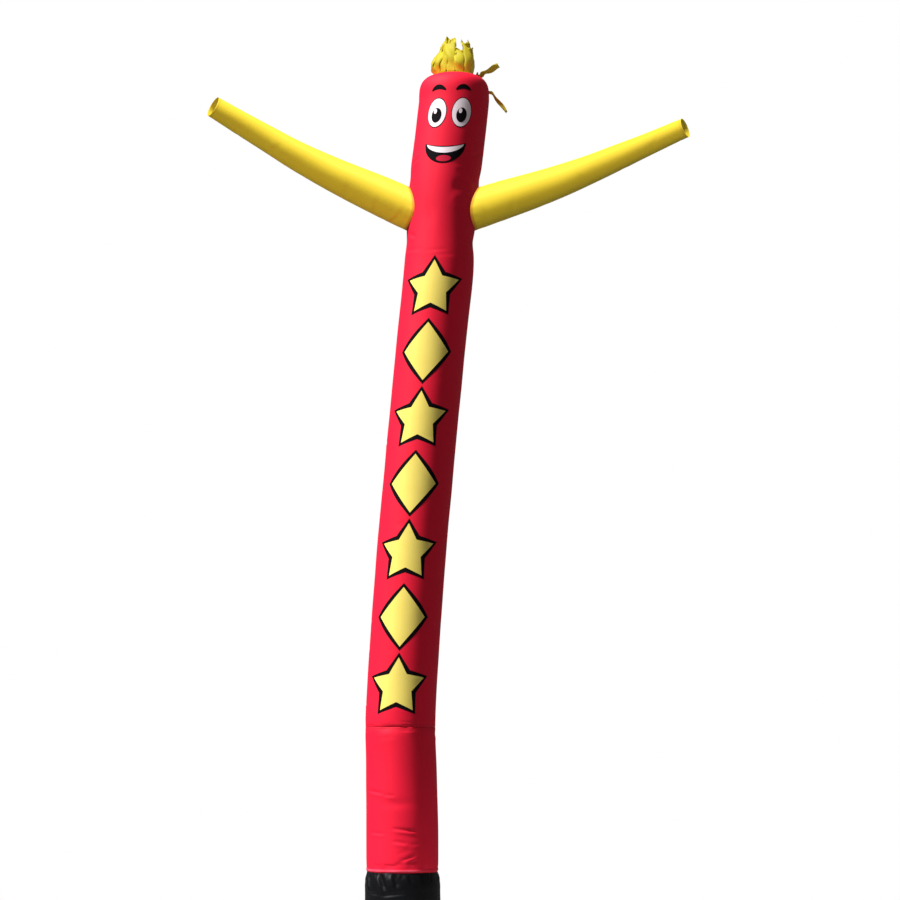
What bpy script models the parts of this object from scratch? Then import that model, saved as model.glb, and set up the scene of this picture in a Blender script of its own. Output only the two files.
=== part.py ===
# Inflatable air dancer: a tall cloth tube that a fan below fills with air, with two open
# arms and a tuft of hair. Metres, +Z up. It stands on the hem of its open cuff, leaning a
# little to the right as the air carries it. Every wall is a sheet of cloth of real shape.

import math

import bmesh
import bpy
import numpy as np
from mathutils import Quaternion, Vector

# Cloth
TUBE_CLOTH = 0.002
CUFF_CLOTH = 0.003
HEM_CLOTH = 0.007
GAP = 0.0003

# Where the pieces meet, as heights above the ground
CUFF_SEAM = 0.461
PANEL_SEAM = 1.396
DOME_START = 5.620
CUFF_LAP = (0.0, 0.011, 0.022)
CUFF_HEM = 0.030

# Dome of the head and the vent that the hair stands round
DOME_RISE = 0.180
DOME_POWER = 3.5
VENT_RADIUS = 0.112

# The arms' holes in the body are this much smaller in radius than the arms' inside
SEAM_ALLOWANCE = 0.006

# Points round a ring
TUBE_SIDES = 36
ARM_SIDES = 22

# Middle and radius of the tube at each height: sideways is +X, back is +Y
SPINE_COLUMNS = ("height", "sideways", "back", "radius")
SPINE = (
    (0.000, 0.005, 0.000, 0.2375),
    (0.461, -0.001, 0.000, 0.2375),
    (0.950, -0.005, 0.000, 0.2350),
    (1.147, -0.009, 0.000, 0.2325),
    (1.396, -0.017, 0.000, 0.2310),
    (1.640, -0.007, 0.003, 0.2310),
    (2.035, 0.018, 0.008, 0.2310),
    (2.634, 0.062, 0.020, 0.2315),
    (3.236, 0.117, 0.033, 0.2315),
    (4.048, 0.194, 0.052, 0.2335),
    (4.457, 0.236, 0.063, 0.2345),
    (4.662, 0.246, 0.068, 0.2300),
    (5.075, 0.277, 0.079, 0.2390),
    (5.490, 0.326, 0.091, 0.2385),
    (5.620, 0.340, 0.095, 0.2380),
    (6.000, 0.341, 0.100, 0.2375),
)

# The cuff below its seam, wider than the tube that is sewn over its top
CUFF_COLUMNS = ("height", "radius")
CUFF = (
    (0.000, 0.2430),
    (0.045, 0.2430),
    (0.110, 0.2475),
    (0.250, 0.2480),
    (0.330, 0.2462),
    (0.390, 0.2480),
    (0.432, 0.2460),
)

# Rings of small gathers, where a seam draws the cloth in
PUCKER_COLUMNS = ("height", "reach", "waves", "depth", "phase")
PUCKERS = (
    (0.461, 0.030, 9, 0.0040, 0.4),
    (0.461, 0.055, 5, 0.0030, 2.1),
    (1.396, 0.022, 8, 0.0050, 1.3),
    (1.396, 0.045, 5, 0.0030, 0.2),
)

# Soft dents in the tube. Bearings are in degrees, 0 at the right, 90 at the back, 270 in front
DENT_COLUMNS = ("height", "bearing", "reach_up", "reach_round", "depth")
DENTS = (
    (4.640, 5, 0.060, 26, 0.012),
    (4.640, 178, 0.060, 24, 0.008),
    (5.070, 2, 0.055, 24, 0.007),
    (5.080, 176, 0.060, 24, 0.006),
    (4.980, 294, 0.060, 12, 0.005),
    (5.160, 298, 0.060, 12, 0.004),
    (4.800, 250, 0.100, 12, 0.004),
    (0.900, 262, 0.030, 22, 0.004),
    (0.700, 288, 0.040, 26, 0.005),
)

# Middle and radius of each arm, from the middle of the tube out to its open end
ARM_COLUMNS = ("sideways", "back", "height", "radius")
LEFT_ARM = (
    (0.262, 0.070, 4.772, 0.1400),
    (0.031, 0.070, 4.876, 0.1380),
    (-0.157, 0.055, 4.960, 0.1320),
    (-0.345, 0.028, 5.042, 0.1210),
    (-0.535, -0.010, 5.126, 0.1085),
    (-0.722, -0.060, 5.216, 0.0960),
    (-0.906, -0.122, 5.312, 0.0855),
    (-1.086, -0.200, 5.406, 0.0770),
    (-1.262, -0.290, 5.496, 0.0690),
)
RIGHT_ARM = (
    (0.246, 0.070, 4.790, 0.1380),
    (0.480, 0.070, 4.872, 0.1350),
    (0.675, 0.062, 4.935, 0.1285),
    (0.865, 0.045, 4.994, 0.1190),
    (1.053, 0.018, 5.055, 0.1080),
    (1.238, -0.020, 5.122, 0.0955),
    (1.422, -0.070, 5.192, 0.0855),
    (1.604, -0.132, 5.262, 0.0745),
    (1.785, -0.206, 5.330, 0.0670),
    (1.876, -0.250, 5.362, 0.0640),
)

# Hair: strips that stand in slots of a band round the vent. Bearing is where a strip stands on
# the band, out is away from the vent's middle and sway is along the band. Half way up, the
# knee stands out and up from the straight line to the top. The top is measured from the
# vent's middle, the folded tip from the top, and the strip twists on the way.
HAIR_CLOTH = 0.002
BAND_WIDTH = 0.020
HAIR_RADIUS = 0.128
SLOT_ANGLE = 18
TIP_CURL = 0.016
HAIR_COLUMNS = (
    "bearing", "width", "knee_out", "knee_up", "top_out", "top_sway", "top_up",
    "tip_out", "tip_sway", "tip_up", "twist",
)
HAIR = (
    (5, 0.040, 0.008, 0.012, 0.118, 0.000, 0.172, -0.016, 0.000, 0.030, 0),
    (62, 0.042, 0.020, 0.012, 0.094, 0.000, 0.140, 0.036, 0.000, -0.034, 8),
    (90, 0.042, 0.020, 0.012, 0.082, 0.000, 0.130, 0.036, 0.000, -0.034, -8),
    (118, 0.042, 0.020, 0.012, 0.096, 0.000, 0.185, 0.036, 0.000, -0.036, 8),
    (147, 0.040, 0.024, 0.012, 0.084, 0.000, 0.170, 0.036, 0.000, -0.030, -8),
    (176, 0.040, 0.042, 0.004, 0.094, 0.000, 0.196, -0.030, 0.000, 0.022, 10),
    (205, 0.040, 0.028, 0.012, 0.082, 0.000, 0.188, 0.030, 0.000, -0.030, 8),
    (232, 0.042, 0.018, 0.012, 0.100, 0.000, 0.208, 0.030, 0.000, -0.036, -6),
    (260, 0.040, 0.008, 0.012, 0.084, 0.000, 0.206, 0.034, 0.000, -0.040, 6),
    (287, 0.042, 0.014, 0.012, 0.100, 0.000, 0.160, 0.036, 0.000, -0.036, -6),
    (314, 0.040, 0.008, 0.012, 0.085, 0.000, 0.200, 0.034, 0.000, -0.040, 6),
    (341, 0.040, 0.010, 0.012, 0.103, 0.000, 0.200, 0.030, 0.000, -0.036, -6),
)
# Two longer strips blow out sideways over the shoulder of the head
STREAMERS = (
    (24, 0.044, 0.000, 0.014, 0.178, -0.038, 0.006, 0.100, -0.075, 0.056, -70),
    (43, 0.036, 0.012, 0.016, 0.238, -0.077, -0.082, 0.105, -0.072, -0.150, 20),
)

RED_NYLON = (0.90, 0.035, 0.075)
YELLOW_NYLON = (0.95, 0.80, 0.07)
BLACK_NYLON = (0.012, 0.012, 0.014)


def smoothed(rows, column, at):
    """The value of a column where the first column equals at, on a smooth curve."""
    across = [row[0] for row in rows]
    values = [row[column] for row in rows]
    slopes = np.gradient(values, across).tolist()
    for i in range(len(rows) - 1):
        if at <= across[i + 1] or i == len(rows) - 2:
            break
    step = across[i + 1] - across[i]
    t = (at - across[i]) / step
    return (
        values[i] * (1 + 2 * t) * (1 - t) ** 2
        + slopes[i] * step * t * (1 - t) ** 2
        + values[i + 1] * t * t * (3 - 2 * t)
        + slopes[i + 1] * step * t * t * (t - 1)
    )


def through(points, steps):
    """Points on a smooth curve that runs through the given points, even in number between them."""
    ends = [2 * points[0] - points[1], *points, 2 * points[-1] - points[-2]]
    curve = []
    for i in range(len(points) - 1):
        before, start, stop, after = ends[i : i + 4]
        for t in np.linspace(0, 1, steps, endpoint=False).tolist():
            curve.append(
                0.5 * (
                    2 * start
                    + (stop - before) * t
                    + (2 * before - 5 * start + 4 * stop - after) * t**2
                    + (3 * start - before - 3 * stop + after) * t**3
                )
            )
    return [*curve, points[-1]]


def fold(height, angle):
    """How far the cloth lies outside its plain round section, in metres."""
    depth = 0.0
    for at, reach, waves, most, phase in PUCKERS:
        fade = math.exp(-(((height - at) / reach) ** 2))
        depth += most * fade * (0.5 + 0.5 * math.cos(waves * angle + phase))
    for at, bearing, reach_up, reach_round, most in DENTS:
        turn = math.degrees(angle) - bearing
        turn = (turn + 180) % 360 - 180
        fade = math.exp(-(((height - at) / reach_up) ** 2) - (turn / reach_round) ** 2)
        depth += most * fade
    return -depth


def middle(height):
    return Vector((smoothed(SPINE, 1, height), smoothed(SPINE, 2, height), height))


def ring(height, radius, sides=TUBE_SIDES, folds=True):
    """A level ring of the tube. The radius may be a number or a function of the angle."""
    points = []
    for i in range(sides):
        angle = 2 * math.pi * i / sides
        out = radius(angle) if callable(radius) else radius
        if folds:
            out += fold(height, angle)
        points.append(middle(height) + out * Vector((math.cos(angle), math.sin(angle), 0)))
    return points


def tube_ring(height, inside=0.0):
    return ring(height, smoothed(SPINE, 3, height) - inside)


def dome_rings(inside=0.0, count=8):
    """Rings of the head's dome, from just above its start to the edge of the vent."""
    radius = smoothed(SPINE, 3, DOME_START) - inside
    rise = DOME_RISE - inside
    last = math.acos((VENT_RADIUS / radius) ** (DOME_POWER / 2))
    rings = []
    for turn in np.linspace(0, last, count + 1)[1:].tolist():
        out = radius * math.cos(turn) ** (2 / DOME_POWER)
        up = rise * math.sin(turn) ** (2 / DOME_POWER)
        flat = ring(DOME_START, out, folds=False)
        rings.append([point + Vector((0, 0, up)) for point in flat])
    return rings


def dome_height(out):
    """Height of the dome's outer face, this far from its middle."""
    radius = smoothed(SPINE, 3, DOME_START)
    return DOME_START + DOME_RISE * (1 - (out / radius) ** DOME_POWER) ** (1 / DOME_POWER)


def material(name, colour, roughness):
    made = bpy.data.materials.new(name)
    made.use_nodes = True
    shader = made.node_tree.nodes["Principled BSDF"]
    shader.inputs["Base Color"].default_value = (*colour, 1)
    shader.inputs["Roughness"].default_value = roughness
    shader.inputs["Metallic"].default_value = 0
    made.diffuse_color = (*colour, 1)
    return made


def add_object(name, mesh, finish=None):
    added = bpy.data.objects.new(name, mesh)
    bpy.context.scene.collection.objects.link(added)
    if finish:
        mesh.materials.append(finish)
    return added


def loft(name, rings, finish=None, closed_loop=True):
    """Skins rings of equal length. A closed loop runs up the outside and down the inside of a
    wall. An open one is capped at both ends. Both ways, a face bends along the same diagonal,
    so that walls that lie on each other stay apart."""
    shape = bmesh.new()
    rows = [[shape.verts.new(point) for point in points] for points in rings]
    pairs = list(zip(rows, rows[1:] + rows[:1]))
    for low, high in pairs if closed_loop else pairs[:-1]:
        for i in range(len(low)):
            j = (i + 1) % len(low)
            corners = [low[i], low[j], high[j], high[i]]
            if low[i].co.z > high[i].co.z:
                corners = [low[j], high[j], high[i], low[i]]
            shape.faces.new(corners)
    if not closed_loop:
        shape.faces.new(rows[0][::-1])
        shape.faces.new(rows[-1])
    bmesh.ops.recalc_face_normals(shape, faces=shape.faces)
    mesh = bpy.data.meshes.new(name)
    shape.to_mesh(mesh)
    shape.free()
    mesh.shade_smooth()
    mesh.set_sharp_from_angle(angle=math.radians(50))
    return add_object(name, mesh, finish)


def wall(name, outer, inner, finish):
    return loft(name, [*outer, *reversed(inner)], finish)


def cutter(name, rings):
    """A solid that only cuts, capped at both ends."""
    made = loft(name, rings, closed_loop=False)
    made.hide_render = True
    made.display_type = "WIRE"
    return made


def cut(target, tool):
    boolean = target.modifiers.new("cut_" + tool.name, "BOOLEAN")
    boolean.operation = "DIFFERENCE"
    boolean.solver = "EXACT"
    boolean.object = tool


def make_cuff(finish):
    """Black cuff. Its top lies inside the red tube, which is sewn over it, and its hem is flat."""
    lap_inside = TUBE_CLOTH + GAP

    def radius(height):
        if height >= CUFF_SEAM - 0.001:
            return smoothed(SPINE, 3, height) - lap_inside
        return smoothed(CUFF, 1, height)

    heights = [0.0, CUFF_HEM, CUFF_HEM + 0.012, 0.10, 0.19, 0.26, 0.30, 0.33, 0.36, 0.40, 0.432]
    heights += [CUFF_SEAM - 0.001, *(CUFF_SEAM + up for up in CUFF_LAP)]
    outer, inner = [], []
    for height in heights:
        thick = HEM_CLOTH if height <= CUFF_HEM else CUFF_CLOTH
        outer.append(ring(height, radius(height)))
        inner.append(ring(height, radius(height) - thick))
    return wall("base_cuff", outer, inner, finish)


def make_lower_panel(finish):
    heights = [CUFF_SEAM + up for up in CUFF_LAP] + [0.52, 0.60, 0.70, 0.80, 0.90, 1.02]
    heights += [1.16, 1.28, 1.34, 1.375, PANEL_SEAM - GAP / 2]
    outer = [tube_ring(height) for height in heights]
    inner = [tube_ring(height, TUBE_CLOTH) for height in heights]
    return wall("lower_panel", outer, inner, finish)


def make_body(finish):
    heights = [PANEL_SEAM + GAP / 2, 1.417, 1.45, 1.52]
    heights += np.linspace(1.66, 4.40, 11).tolist()
    heights += np.linspace(4.52, 5.20, 8).tolist()
    heights += [5.34, 5.48, DOME_START]
    outer = [tube_ring(height) for height in heights] + dome_rings()
    inner = [tube_ring(height, TUBE_CLOTH) for height in heights] + dome_rings(TUBE_CLOTH)
    return wall("body_and_head", outer, inner, finish)


def arm_rings(rows, inside=0.0, stop=None):
    """Rings square to the arm's own curve."""
    centres = [Vector(row[:3]) for row in rows]
    curve = through(centres, 2)
    sizes = through([Vector((row[3], 0, 0)) for row in rows], 2)
    rings = []
    for i, centre in enumerate(curve[:stop]):
        along = (curve[min(i + 1, len(curve) - 1)] - curve[max(i - 1, 0)]).normalized()
        up = (Vector((0, 0, 1)) - along * along.z).normalized()
        side = along.cross(up)
        out = sizes[i].x - inside
        turns = [2 * math.pi * j / ARM_SIDES for j in range(ARM_SIDES)]
        rings.append([centre + out * (math.cos(t) * up + math.sin(t) * side) for t in turns])
    return rings


def make_arm(name, rows, body, skin, finish):
    """An open tapered tube, trimmed to the body and standing over a hole in it."""
    arm = wall(name, arm_rings(rows), arm_rings(rows, TUBE_CLOTH), finish)
    cut(arm, skin)
    hole = cutter(name + "_hole", arm_rings(rows, TUBE_CLOTH + SEAM_ALLOWANCE, stop=5))
    cut(body, hole)
    return arm


def make_skin_cutter():
    """The outside of the body where the arms meet it, a gap larger."""
    heights = np.linspace(4.52, 5.20, 8).tolist()
    return cutter("body_skin", [tube_ring(height, -GAP * 1.2) for height in heights])


def strip_path(row):
    """From the band up to a strip's top, and over to its folded tip."""
    bearing, _, knee_out, knee_up, top_out, top_sway, top_up, tip_out, tip_sway, tip_up, _ = row
    turn = math.radians(bearing)
    out = Vector((math.cos(turn), math.sin(turn), 0))
    sway = Vector((-math.sin(turn), math.cos(turn), 0))
    up = Vector((0, 0, 1))
    root = out * HAIR_RADIUS + up * (dome_height(HAIR_RADIUS) - dome_height(0.0) + HAIR_CLOTH)
    top = out * top_out + sway * top_sway + up * top_up
    tip = top + out * tip_out + sway * tip_sway + up * tip_up
    knee = root.lerp(top, 0.45) + out * knee_out + up * knee_up
    bend = top.lerp(tip, 0.35) + up * (TIP_CURL if tip_up < 0 else 0.0)
    return through([root, knee, top, bend, tip], 2)


def ribbon_section(path, i, row):
    """Four corners of a strip at a point of its path. Its width is level at the root."""
    bearing, width, twist = math.radians(row[0]), row[1], math.radians(row[10])
    across = Vector((-math.sin(bearing), math.cos(bearing), 0))
    along = (path[min(i + 1, len(path) - 1)] - path[max(i - 1, 0)]).normalized()
    side = (across - along * across.dot(along)).normalized()
    side.rotate(Quaternion(along, twist * i / (len(path) - 1)))
    thick = side.cross(along).normalized() * HAIR_CLOTH / 2
    side = side * width / 2
    point = path[i]
    return [point - side - thick, point + side - thick, point + side + thick, point - side + thick]


def band_ring(vent, out, above, turns):
    """A ring of the hair band, seated on the dome and raised above it."""
    height = dome_height(out) - dome_height(0.0) + 2 * GAP + above
    return [vent + Vector((out * math.cos(t), out * math.sin(t), height)) for t in turns]


def make_hair(finish):
    """Strips that grow from slots in a narrow band, which is sewn on round the vent."""
    vent = Vector((*middle(DOME_START).xy, dome_height(0.0)))
    strips = sorted(HAIR + STREAMERS)
    half = math.radians(SLOT_ANGLE / 2)
    turns = [math.radians(row[0]) + way for row in strips for way in (-half, half)]
    edges = (HAIR_RADIUS - BAND_WIDTH / 2, HAIR_RADIUS + BAND_WIDTH / 2)
    slot = (HAIR_RADIUS - HAIR_CLOTH / 2, HAIR_RADIUS + HAIR_CLOTH / 2)
    loops = [(edges[1], 0.0), (edges[1], HAIR_CLOTH), (slot[1], HAIR_CLOTH)]
    loops += [(slot[0], HAIR_CLOTH), (edges[0], HAIR_CLOTH), (edges[0], 0.0)]
    shape = bmesh.new()
    rows = [[shape.verts.new(p) for p in band_ring(vent, *loop, turns)] for loop in loops]
    for number, (low, high) in enumerate(zip(rows, rows[1:] + rows[:1])):
        for i in range(len(turns)):
            j = (i + 1) % len(turns)
            if number == 2 and i % 2 == 0:
                continue
            shape.faces.new((low[i], low[j], high[j], high[i]))
    for number, row in enumerate(strips):
        path = [vent + point for point in strip_path(row)]
        low, high = 2 * number, 2 * number + 1
        last = [rows[3][low], rows[3][high], rows[2][high], rows[2][low]]
        for i in range(1, len(path)):
            corners = [shape.verts.new(p) for p in ribbon_section(path, i, row)]
            for a in range(4):
                b = (a + 1) % 4
                shape.faces.new((last[a], last[b], corners[b], corners[a]))
            last = corners
        shape.faces.new(last)
    bmesh.ops.recalc_face_normals(shape, faces=shape.faces)
    mesh = bpy.data.meshes.new("hair")
    shape.to_mesh(mesh)
    shape.free()
    return add_object("hair", mesh, finish)


def stand_on_centre():
    """Puts the middle of the whole figure's box over the origin."""
    graph = bpy.context.evaluated_depsgraph_get()
    corners = []
    for shown in bpy.context.scene.objects:
        if not shown.hide_render:
            corners += [Vector(corner) for corner in shown.evaluated_get(graph).bound_box]
    shift = [-(min(c[i] for c in corners) + max(c[i] for c in corners)) / 2 for i in (0, 1)]
    figure = bpy.data.objects.new("figure", None)
    bpy.context.scene.collection.objects.link(figure)
    for shown in list(bpy.context.scene.objects):
        if shown is not figure:
            shown.parent = figure
    figure.location = (*shift, 0)
    print("figure moved by", [round(value, 4) for value in shift])


def main():
    for old in list(bpy.data.objects):
        bpy.data.objects.remove(old)
    red = material("red_ripstop_nylon", RED_NYLON, 0.45)
    yellow = material("yellow_ripstop_nylon", YELLOW_NYLON, 0.45)
    black = material("black_nylon_canvas", BLACK_NYLON, 0.6)
    make_cuff(black)
    make_lower_panel(red)
    body = make_body(red)
    skin = make_skin_cutter()
    make_arm("arm_left", LEFT_ARM, body, skin, yellow)
    make_arm("arm_right", RIGHT_ARM, body, skin, yellow)
    make_hair(yellow)
    bpy.context.view_layer.update()
    stand_on_centre()


main()
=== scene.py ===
import math

import bmesh
import bpy
import numpy as np
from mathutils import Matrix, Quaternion, Vector


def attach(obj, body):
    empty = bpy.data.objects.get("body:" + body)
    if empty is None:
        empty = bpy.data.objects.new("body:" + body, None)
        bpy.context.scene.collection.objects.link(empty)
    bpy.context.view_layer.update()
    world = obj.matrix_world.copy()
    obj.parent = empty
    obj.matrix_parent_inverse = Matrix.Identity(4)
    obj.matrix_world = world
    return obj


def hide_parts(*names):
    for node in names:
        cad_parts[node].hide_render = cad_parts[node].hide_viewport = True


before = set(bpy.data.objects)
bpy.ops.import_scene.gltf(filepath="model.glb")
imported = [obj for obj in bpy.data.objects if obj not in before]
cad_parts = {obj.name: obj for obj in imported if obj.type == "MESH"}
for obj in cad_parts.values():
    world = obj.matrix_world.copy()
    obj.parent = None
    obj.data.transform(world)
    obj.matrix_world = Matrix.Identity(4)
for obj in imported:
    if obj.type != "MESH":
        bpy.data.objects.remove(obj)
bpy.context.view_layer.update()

# The whole figure is moved by this much, so that it stands over the middle of its own box
figureShift = np.array((-0.3033, 0.0097, 0.0))

tubeForm = {
    # height, sideways, back, radius
    "spine": (
        (0.000, 0.005, 0.000, 0.2375), (0.461, -0.001, 0.000, 0.2375),
        (0.950, -0.005, 0.000, 0.2350), (1.147, -0.009, 0.000, 0.2325),
        (1.396, -0.017, 0.000, 0.2310), (1.640, -0.007, 0.003, 0.2310),
        (2.035, 0.018, 0.008, 0.2310), (2.634, 0.062, 0.020, 0.2315),
        (3.236, 0.117, 0.033, 0.2315), (4.048, 0.194, 0.052, 0.2335),
        (4.457, 0.236, 0.063, 0.2345), (4.662, 0.246, 0.068, 0.2300),
        (5.075, 0.277, 0.079, 0.2390), (5.490, 0.326, 0.091, 0.2385),
        (5.620, 0.340, 0.095, 0.2380), (6.000, 0.341, 0.100, 0.2375),
    ),
    # height, reach, waves round the tube, depth, phase
    "puckers": (
        (0.461, 0.030, 9, 0.0040, 0.4), (0.461, 0.055, 5, 0.0030, 2.1),
        (1.396, 0.020, 8, 0.0035, 3.1), (1.396, 0.045, 5, 0.0020, 3.1),
    ),
    # height, bearing, reach up, reach round in degrees, depth; 270 is the front
    "dents": (
        (4.640, 5, 0.060, 26, 0.010), (4.640, 178, 0.060, 24, 0.005),
        (5.070, 2, 0.055, 24, 0.007), (5.080, 176, 0.060, 24, 0.006),
        (4.985, 294, 0.060, 12, 0.003), (5.160, 298, 0.060, 12, 0.002),
        (4.800, 250, 0.100, 12, 0.004), (0.900, 262, 0.030, 22, 0.004),
        (0.700, 288, 0.040, 26, 0.003),
    ),
    # bearing and height at both ends, half width, depth: a trough with a ridge under it
    "creases": (
        (268, 1.374, 298, 1.368, 0.0060, 0.0011), (268, 1.430, 296, 1.424, 0.0070, 0.0014),
        (196, 0.988, 244, 0.962, 0.0090, 0.0045),
        (238, 0.958, 262, 0.950, 0.0080, 0.0030), (250, 0.742, 302, 0.716, 0.0085, 0.0065),
        (205, 0.712, 246, 0.704, 0.0080, 0.0032), (252, 0.660, 284, 0.640, 0.0100, 0.0040),
        (262, 0.520, 296, 0.572, 0.0090, 0.0042), (258, 0.566, 290, 0.616, 0.0120, 0.0010),
        (276, 0.630, 306, 0.646, 0.0100, 0.0014), (282, 5.000, 320, 4.976, 0.0440, 0.0046),
        (288, 4.905, 316, 4.880, 0.0220, 0.0014), (286, 5.095, 312, 5.078, 0.0240, 0.0014),
        (318, 4.700, 352, 4.660, 0.0120, 0.0050), (300, 4.640, 340, 4.600, 0.0130, 0.0040),
        (196, 4.700, 226, 4.650, 0.0110, 0.0045), (186, 4.600, 214, 4.560, 0.0120, 0.0030),
        (312, 5.200, 344, 5.240, 0.0110, 0.0050), (196, 5.160, 222, 5.200, 0.0110, 0.0035),
        (20, 4.700, 62, 4.640, 0.0120, 0.0070), (118, 4.660, 160, 4.700, 0.0120, 0.0070),
        (24, 5.160, 66, 5.220, 0.0120, 0.0060), (112, 5.230, 158, 5.170, 0.0120, 0.0060),
        (60, 4.950, 120, 4.930, 0.0150, 0.0050), (66, 0.800, 130, 0.780, 0.0130, 0.0060),
        (20, 0.640, 84, 0.610, 0.0120, 0.0060), (96, 0.560, 150, 0.590, 0.0110, 0.0050),
        (30, 1.100, 90, 1.120, 0.0130, 0.0040), (100, 1.230, 150, 1.210, 0.0130, 0.0040),
    ),
    # the same, but hanging over a little at the top and easing out below
    "tucks": (
        (206, 1.410, 240, 1.395, 0.0050, 0.0030), (228, 1.386, 268, 1.402, 0.0065, 0.0048),
        (256, 1.404, 290, 1.388, 0.0060, 0.0044), (268, 1.414, 290, 1.412, 0.0050, 0.0022),
        (216, 0.502, 238, 0.505, 0.0045, 0.0024), (236, 0.506, 264, 0.500, 0.0050, 0.0044),
        (256, 0.512, 278, 0.520, 0.0050, 0.0040), (276, 0.520, 300, 0.536, 0.0060, 0.0036),
    ),
    "smallCreases": 64,
    "seed": 11,
    "panelSeam": 1.396,
    "cuffSeam": 0.461,
    "domeStart": 5.620,
    "domeRise": 0.180,
    "domePower": 3.5,
    # folds fade out over this height above the dome's start
    "domeFade": 0.12,
    "ventRadius": 0.112,
    "clothThick": 0.0012,
    "ripple": 0.0007,
}


def smoothed(rows, column, at):
    # a smooth curve through one column of the rows, read where the first column equals at
    table = np.array(rows)
    across, values = table[:, 0], table[:, column]
    slopes = np.gradient(values, across)
    at = np.asarray(at, dtype=float)
    i = np.clip(np.searchsorted(across, at) - 1, 0, len(across) - 2)
    step = across[i + 1] - across[i]
    t = (at - across[i]) / step
    return (
        values[i] * (1 + 2 * t) * (1 - t) ** 2
        + slopes[i] * step * t * (1 - t) ** 2
        + values[i + 1] * t * t * (3 - 2 * t)
        + slopes[i + 1] * step * t * t * (t - 1)
    )


domeRadius = float(smoothed(tubeForm["spine"], 3, tubeForm["domeStart"]))


def softStep(value):
    value = np.clip(value, 0, 1)
    return value * value * (3 - 2 * value)


def degreesFrom(bearing, start):
    return (bearing - start + 180) % 360 - 180


# metres of cloth round the tube for each degree
clothPerDegree = math.radians(1) * 0.232


def creaseAt(bearing, height, row, tuck=False):
    startBearing, startHeight, endBearing, endHeight, reach, depth = row
    runU = (endBearing - startBearing) * clothPerDegree
    runV = endHeight - startHeight
    length = math.hypot(runU, runV)
    u = degreesFrom(bearing, startBearing) * clothPerDegree
    v = height - startHeight
    along = (u * runU + v * runV) / length**2
    off = (v * runU - u * runV) / length
    fade = softStep(along / 0.35) * softStep((1 - along) / 0.35)
    if tuck:
        return -depth * fade * np.exp(-((off / np.where(off > 0, reach, 5 * reach)) ** 2))
    trough = np.exp(-((off / reach) ** 2))
    ridge = 0.6 * np.exp(-(((off + 1.7 * reach) / (1.2 * reach)) ** 2))
    return depth * fade * (ridge - trough)


def scatteredCreases():
    # short faint wrinkles all round, level or a little tilted, weaker at the front
    draw = np.random.default_rng(tubeForm["seed"])
    rows = []
    for _ in range(tubeForm["smallCreases"]):
        bearing = draw.uniform(0, 360)
        height = draw.uniform(0.52, 5.5)
        reachRound = draw.uniform(18, 55)
        tilt = draw.normal(0, 0.016)
        reach = draw.uniform(0.008, 0.016)
        depth = draw.uniform(0.0012, 0.0032)
        if 205 < (bearing + reachRound / 2) % 360 < 320:
            depth *= 0.45
        rows.append((bearing, height, bearing + reachRound, height + tilt, reach, depth))
    return rows


allCreases = [*tubeForm["creases"], *scatteredCreases()]


def puckerDepth(height, angle, rows):
    depth = 0
    for at, reach, waves, most, phase in rows:
        fade = np.exp(-(((height - at) / reach) ** 2))
        depth = depth + most * fade * (0.5 + 0.5 * np.cos(waves * angle + phase))
    return depth


def clothDepth(height, angle):
    # how far the cloth lies outside its plain round section, in metres
    height, angle = np.broadcast_arrays(height, angle)
    bearing = np.degrees(angle) % 360
    out = -puckerDepth(height, angle, tubeForm["puckers"])
    for at, middle, reachUp, reachRound, most in tubeForm["dents"]:
        turn = degreesFrom(bearing, middle) / reachRound
        out -= most * np.exp(-(((height - at) / reachUp) ** 2) - turn**2)
    for row in allCreases:
        out += creaseAt(bearing, height, row)
    for row in tubeForm["tucks"]:
        out += creaseAt(bearing, height, row, tuck=True)
    ripple = np.sin(3 * angle + 5.1 * height) + np.sin(5 * angle - 8.3 * height + 1.0)
    ripple += np.sin(2 * angle + 17.0 * height + 2.0) + np.sin(7 * angle + 11.0 * height)
    return out + tubeForm["ripple"] * ripple * 0.5


def tubeMiddle(height):
    height = np.minimum(height, tubeForm["domeStart"])
    return (
        smoothed(tubeForm["spine"], 1, height) + figureShift[0],
        smoothed(tubeForm["spine"], 2, height) + figureShift[1],
    )


def tubeRadius(height):
    # straight tube, then the dome's rounded shoulder
    start, rise, power = tubeForm["domeStart"], tubeForm["domeRise"], tubeForm["domePower"]
    plain = smoothed(tubeForm["spine"], 3, np.minimum(height, start))
    up = np.clip((np.asarray(height) - start) / rise, 0, 0.9999)
    return plain * (1 - up**power) ** (1 / power)


def roundPoint(height, angle, radius):
    # a point at this radius about the tube's leaning middle line
    sideways, back = tubeMiddle(height)
    return np.stack(
        (sideways + radius * np.cos(angle), back + radius * np.sin(angle), height), axis=-1
    )


def tubePoint(height, angle, out=0.0):
    height, angle = np.broadcast_arrays(np.asarray(height, float), np.asarray(angle, float))
    fade = 1 - softStep((height - tubeForm["domeStart"]) / tubeForm["domeFade"])
    return roundPoint(height, angle, tubeRadius(height) + clothDepth(height, angle) * fade + out)


def domeHeight(out):
    # how high the dome is at this distance from its middle
    start, rise, power = tubeForm["domeStart"], tubeForm["domeRise"], tubeForm["domePower"]
    return start + rise * (1 - (out / domeRadius) ** power) ** (1 / power)


def domeRows(count):
    # heights of rows from above the dome's start to the vent's edge, closer where it curves
    start, rise, power = tubeForm["domeStart"], tubeForm["domeRise"], tubeForm["domePower"]
    last = math.acos((tubeForm["ventRadius"] / domeRadius) ** (power / 2))
    turns = np.linspace(0, last, count + 1)[1:]
    return start + rise * np.sin(turns) ** (2 / power)


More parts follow.
